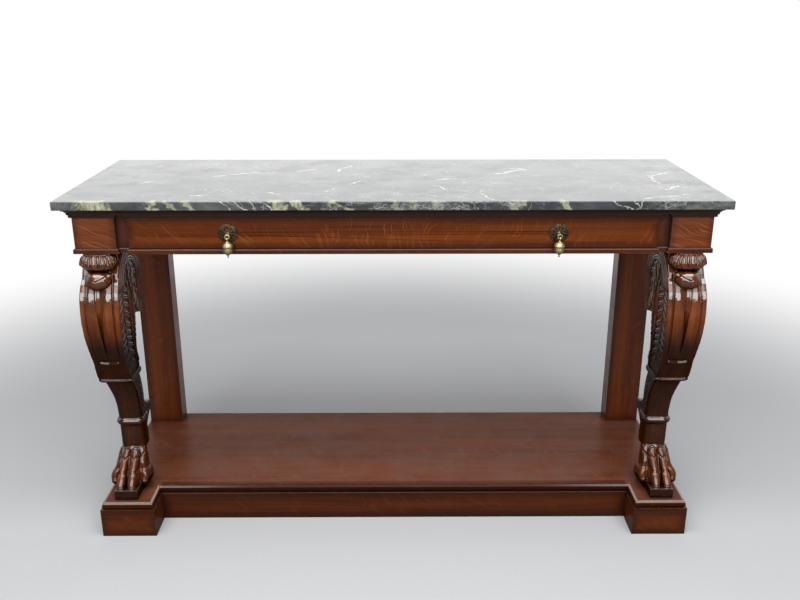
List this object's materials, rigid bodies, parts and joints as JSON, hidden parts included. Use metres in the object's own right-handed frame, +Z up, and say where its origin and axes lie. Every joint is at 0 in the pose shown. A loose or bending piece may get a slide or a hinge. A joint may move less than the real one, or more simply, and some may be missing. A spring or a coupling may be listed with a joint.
{
  "type": "pier table",
  "caption": "Long pier table with a marble slab, frieze drawer with drop pulls, carved scroll legs on paw feet, flat rear posts and a platform shelf on plinth blocks.",
  "frame": {"origin": "on the floor under the middle of the slab", "axes": "+Z up, front faces -Y, +X to the right seen from the front"},
  "size_m": [1.524, 0.5283, 0.872],
  "materials": {
    "marble": "polished dark green marble with pale veins",
    "stained_oak": "red-brown stained quarter-sawn oak, polished",
    "carved_oak": "dark red-brown stained carved oak, polished",
    "inner_oak": "unstained oak",
    "aged_brass": "aged brass",
    "steel": "plain steel"
  },
  "bodies": {
    "carcase": {"base_glue_blocks": "inner_oak", "centre_bearer": "inner_oak", "drawer_blade": "stained_oak", "front_bead": "stained_oak", "front_bed_mould": "stained_oak", "front_cornice": "stained_oak", "front_fascia": "stained_oak", "left_apron": "stained_oak", "left_bead": "stained_oak", "left_bed_mould": "stained_oak", "left_cornice": "stained_oak", "left_drawer_guide": "inner_oak", "left_drawer_kicker": "inner_oak", "left_drawer_runner": "inner_oak", "left_fascia": "stained_oak", "left_frieze_block": "stained_oak", "left_plinth_block": "stained_oak", "left_rear_post": "stained_oak", "left_scroll_leg": "carved_oak", "left_stile": "stained_oak", "leg_dowels": "inner_oak", "marble_top": "marble", "platform_battens": "inner_oak", "platform_board": "stained_oak", "post_screws": "steel", "rear_apron": "inner_oak", "rear_fascia": "inner_oak", "right_apron": "stained_oak", "right_bead": "stained_oak", "right_bed_mould": "stained_oak", "right_cornice": "stained_oak", "right_drawer_guide": "inner_oak", "right_drawer_kicker": "inner_oak", "right_drawer_runner": "inner_oak", "right_fascia": "stained_oak", "right_frieze_block": "stained_oak", "right_plinth_block": "stained_oak", "right_rear_post": "stained_oak", "right_scroll_leg": "carved_oak", "right_stile": "stained_oak", "top_rail": "stained_oak"},
    "drawer": {"drawer_back": "inner_oak", "drawer_bottom": "inner_oak", "drawer_front": "stained_oak", "drawer_left_side": "inner_oak", "drawer_right_side": "inner_oak", "left_rosette": "aged_brass", "right_rosette": "aged_brass", "left_pull_post": "aged_brass", "right_pull_post": "aged_brass", "pull_nuts": "aged_brass"},
    "left_drop": {"left_drop": "aged_brass"},
    "right_drop": {"right_drop": "aged_brass"}
  },
  "joints": [
    {"name": "drawer_slide", "type": "slide", "parent": "carcase", "child": "drawer", "axis": [0, -1, 0], "range_m": [0, 0.3]},
    {"name": "left_drop_swing", "type": "hinge", "parent": "drawer", "child": "left_drop", "pos_m": [-0.377, -0.252, 0.7831], "axis": [-1, 0, 0], "range_deg": [-2, 85]},
    {"name": "right_drop_swing", "type": "hinge", "parent": "drawer", "child": "right_drop", "pos_m": [0.377, -0.252, 0.7831], "axis": [-1, 0, 0], "range_deg": [-2, 85]}
  ]
}
